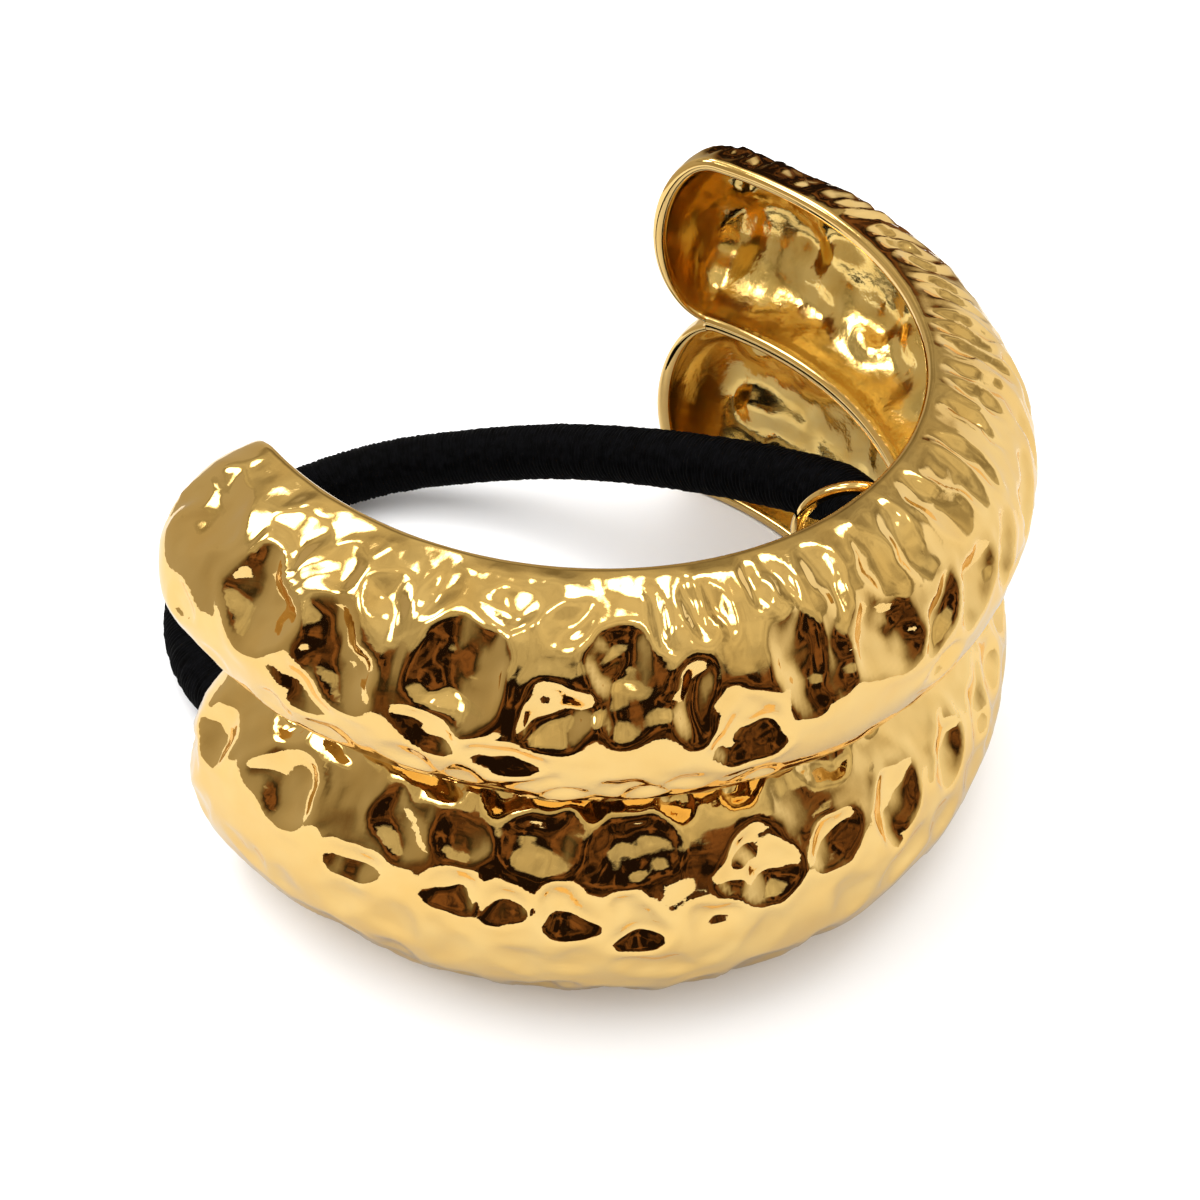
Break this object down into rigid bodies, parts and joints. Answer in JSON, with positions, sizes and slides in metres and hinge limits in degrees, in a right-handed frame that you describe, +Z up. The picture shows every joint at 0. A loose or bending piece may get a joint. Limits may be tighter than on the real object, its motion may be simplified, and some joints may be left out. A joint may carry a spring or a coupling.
{
  "type": "ponytail cuff",
  "caption": "Open C-shaped hammered metal cuff of two stacked hollow lobes, with a wire eyelet inside that holds an elastic hair ring.",
  "frame": {"origin": "middle of the cuff's own box, at the height of the foot rim that it rests on; the elastic isn't counted", "axes": "+Z up from the foot rim to the top rim, +Y out of the open side of the C, +X to the right of it along the cuff's widest way"},
  "size_m": [0.0616, 0.0625, 0.0334],
  "materials": {
    "gold_plate": "polished hammered gold plate, satin inside the lobes",
    "black_elastic": "matt black yarn wound closely round a rubber core"
  },
  "bodies": {
    "root": {"cuff": "gold_plate", "elastic": "black_elastic"}
  },
  "joints": []
}
